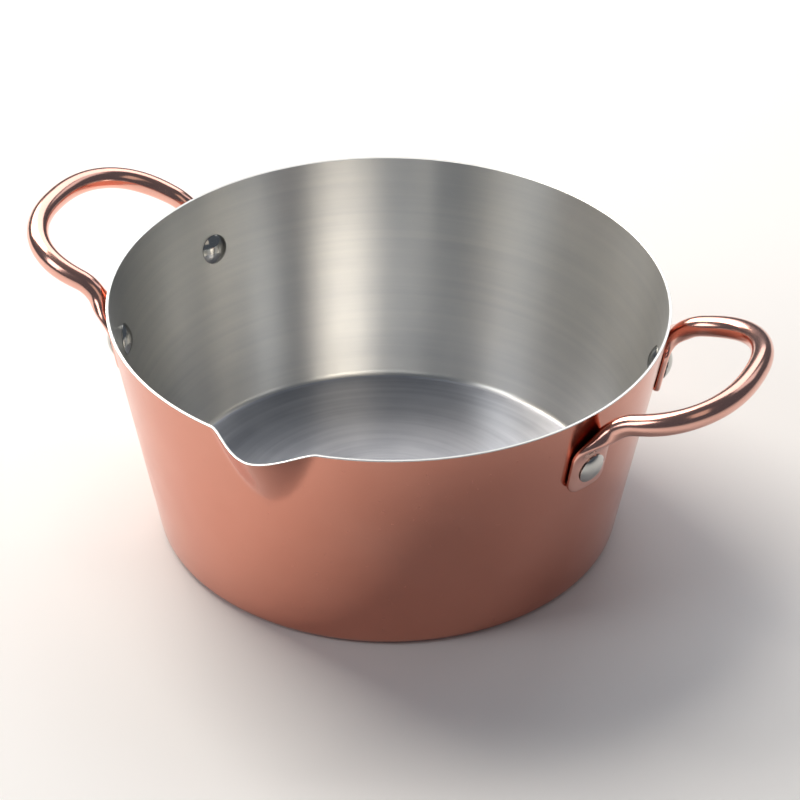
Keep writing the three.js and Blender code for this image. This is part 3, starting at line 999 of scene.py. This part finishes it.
# %% The tree that sets the rivets
def rivet_tree():
    """Turns a rivet's outline, and sets copies of it in pairs on both sides of the pan."""
    sockets = {
        "Sides": "Int",
        "Count": "Int",
        "Wall Radius": "Float",
        "Height": "Float",
        "Angle": "Float",
        "Lean": "Float",
        "Finish": "Material",
    }
    tree, given = new_tree("set_rivets", sockets)
    grid, row, column = grid_columns(tree, given["Geometry"], given["Sides"])
    position = add_node(tree, "GeometryNodeInputPosition").outputs[0]
    outline = add_node(
        tree,
        "GeometryNodeSampleIndex",
        {"Geometry": given["Geometry"], "Value": position, "Index": row},
        data_type="FLOAT_VECTOR",
    )
    turn = add_node(
        tree,
        "ShaderNodeMapRange",
        {"Value": column, "From Max": given["Sides"], "To Max": FULL_TURN},
    )
    round_z = add_node(
        tree,
        "ShaderNodeVectorRotate",
        {"Vector": outline.outputs[0], "Angle": turn.outputs[0]},
        rotation_type="Z_AXIS",
    )
    rivet = add_node(
        tree, "GeometryNodeSetPosition", {"Geometry": grid, "Position": round_z.outputs[0]}
    )

    # Even points sit at plus the angle and odd ones at minus it; the last two turn to the far side.
    index = add_node(tree, "GeometryNodeInputIndex").outputs[0]
    odd = add_node(tree, "ShaderNodeMath", {0: index, 1: 2.0}, operation="MODULO").outputs[0]
    sign = add_node(
        tree, "ShaderNodeMapRange", {"Value": odd, "To Min": 1.0, "To Max": -1.0}
    ).outputs[0]
    swing = add_node(tree, "ShaderNodeMath", {0: sign, 1: given["Angle"]}, operation="MULTIPLY")
    pair = add_node(tree, "ShaderNodeMath", {0: index, 1: 2.0}, operation="DIVIDE").outputs[0]
    far = add_node(tree, "ShaderNodeMath", {0: pair}, operation="FLOOR").outputs[0]
    half = add_node(tree, "ShaderNodeMath", {0: far, 1: math.pi}, operation="MULTIPLY").outputs[0]
    angle = add_node(tree, "ShaderNodeMath", {0: swing.outputs[0], 1: half}).outputs[0]
    start = add_node(
        tree, "ShaderNodeCombineXYZ", {0: given["Wall Radius"], 2: given["Height"]}
    ).outputs[0]
    place = add_node(
        tree, "ShaderNodeVectorRotate", {"Vector": start, "Angle": angle}, rotation_type="Z_AXIS"
    ).outputs[0]
    points = add_node(
        tree, "GeometryNodePoints", {"Count": given["Count"], "Position": place}
    ).outputs[0]
    tip = add_node(tree, "ShaderNodeMath", {0: given["Lean"], 1: math.pi / 2}).outputs[0]
    euler = add_node(tree, "ShaderNodeCombineXYZ", {1: tip, 2: angle}).outputs[0]
    copies = add_node(
        tree,
        "GeometryNodeInstanceOnPoints",
        {"Points": points, "Instance": rivet.outputs[0], "Rotation": euler},
    )
    finish_tree(tree, copies.outputs[0], given["Finish"])
    return tree


SET_RIVETS = rivet_tree()
print("tree", SET_RIVETS.name, "has", len(SET_RIVETS.nodes), "nodes")

# %% Make the rivets
rivets = grow(
    wire("rivets", rivet_outline()),
    SET_RIVETS,
    {
        "Sides": RIVET_SIDES,
        "Count": RIVET_COUNT,
        "Wall Radius": wall_radius(RIVET_HEIGHT),
        "Height": RIVET_HEIGHT,
        "Angle": RIVET_ANGLE,
        "Lean": WALL_LEAN,
        "Finish": RIVET_STEEL,
    },
)
print_volume(rivets)

# %% [markdown]
# ## Edges
# Smooth shading would round off real edges, such as the foot of a rivet's head. Edges that turn
# by more than a set angle are marked sharp, and all others stay smooth.

# %% Mark the sharp edges
SHARP_ANGLE = math.radians(50)
for piece in (copper_body, steel_inside, handle_right, handle_left, rivets):
    piece.data.set_sharp_from_angle(angle=SHARP_ANGLE)
    print(piece.name, sum(edge.use_edge_sharp for edge in piece.data.edges), "sharp edges")

# %% [markdown]
# ## Pieces and frame
# Every piece rides on the frame's one body and stands for its own frame nodes. The table also lists
# a finish name for each piece, which the script does not use.

# %% Tie the pieces to the frame
STANDS_FOR = {
    copper_body: ("copper_outside", ["copper_shell"]),
    steel_inside: ("steel_inside", ["steel_lining"]),
    handle_right: ("copper_handles", ["handle_right"]),
    handle_left: ("copper_handles", ["handle_left"]),
    rivets: ("rivet_steel", [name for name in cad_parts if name.startswith("rivet_")]),
}
for piece, (slot_name, nodes) in STANDS_FOR.items():
    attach(piece, "root")
    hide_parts(*nodes)
    print(piece.name, "stands for", nodes)

# %% [markdown]
# ## The studio
# The pan stands on a pale floor under soft light. Polished metal shows its surroundings more than
# its own colour, so the lamps are large. A broad warm one at the left does most of the work. Two
# more stand behind and two in front, so that every side has something pale to show, and a faint
# blue sky fills the shade.

# %% Floor and lamps
FLOOR_SIZE = 12.0
FLOOR_GAP = 0.1 * MM  # the floor lies this far under the pan
SKY_COLOUR = "#d5e2f5"
SKY_STRENGTH = 0.15


def pale_floor():
    """A wide square sheet of matt paper."""
    mesh = bpy.data.meshes.new("studio_floor")
    half = FLOOR_SIZE / 2
    square = ((-half, -half), (half, -half), (half, half), (-half, half))
    corners = [(x, y, -FLOOR_GAP) for x, y in square]
    mesh.from_pydata(corners, [], [(0, 1, 2, 3)])
    floor = bpy.data.objects.new("studio_floor", mesh)
    bpy.context.scene.collection.objects.link(floor)
    paper = bpy.data.materials.new("matt_white_paper")
    paper.use_nodes = True
    shader = paper.node_tree.nodes["Principled BSDF"]
    shader.inputs["Base Color"].default_value = linear("#f6f6f6")
    shader.inputs["Roughness"].default_value = 0.9
    mesh.materials.append(paper)
    return floor


def soft_lamp(name, azimuth, elevation, distance, size, brightness, tint="#ffffff"):
    """A rectangular lamp of (width, height) metres, seen from the pan at these angles in degrees.
    Azimuth 0 is +X and 90 is +Y. Brightness is that of the lamp's surface, whatever its size."""
    data = bpy.data.lights.new(name, "AREA")
    data.shape = "RECTANGLE"
    data.size, data.size_y = size
    data.energy = brightness * math.pi * size[0] * size[1]
    data.color = linear(tint)[:3]
    lamp = bpy.data.objects.new(name, data)
    bpy.context.scene.collection.objects.link(lamp)
    turn, lift = math.radians(azimuth), math.radians(elevation)
    level = math.cos(lift)
    away = Vector((math.cos(turn) * level, math.sin(turn) * level, math.sin(lift)))
    lamp.location = Vector((0, 0, BODY_HEIGHT)) + away * distance
    lamp.rotation_euler = away.to_track_quat("Z", "Y").to_euler()
    print(name, "at", [round(metres, 2) for metres in lamp.location])


pale_floor()
soft_lamp("lamp_key", 158, 44, 1.6, (1.0, 1.2), 7.4, "#fff6ea")
soft_lamp("lamp_behind", 112, 44, 1.8, (1.6, 1.2), 2.0)
soft_lamp("lamp_back_right", 58, 42, 1.8, (0.6, 0.9), 0.9)
soft_lamp("lamp_front_right", -40, 50, 1.6, (0.6, 0.9), 0.6, "#fff0dc")
soft_lamp("lamp_front_left", -130, 36, 1.6, (0.5, 0.9), 3.0)

world = bpy.data.worlds.new("studio")
bpy.context.scene.world = world
world.use_nodes = True
sky = world.node_tree.nodes["Background"]
sky.inputs["Color"].default_value = linear(SKY_COLOUR)
sky.inputs["Strength"].default_value = SKY_STRENGTH
bpy.context.scene.view_settings.view_transform = "Standard"

# %% [markdown]
# ## The camera
# A long lens from above the front right, turned a few tenths of a degree, as a hand-held camera is.

# %% Camera
LENS = 132.7  # focal length, in the millimetres that a camera takes
CAMERA_PLACE = Vector((374.7, -808.3, 655.6)) * MM
CAMERA_AIM = Vector((3.6, 2.3, 46.1)) * MM
CAMERA_ROLL = math.radians(0.45)

camera_data = bpy.data.cameras.new("camera")
camera_data.lens = LENS
camera = bpy.data.objects.new("camera", camera_data)
bpy.context.scene.collection.objects.link(camera)
camera.location = CAMERA_PLACE
aimed = (CAMERA_AIM - CAMERA_PLACE).to_track_quat("-Z", "Y")
camera.rotation_euler = (aimed @ Euler((0, 0, CAMERA_ROLL)).to_quaternion()).to_euler()
bpy.context.scene.camera = camera
print("the camera stands", round((CAMERA_PLACE - CAMERA_AIM).length, 3), "m from what it looks at")
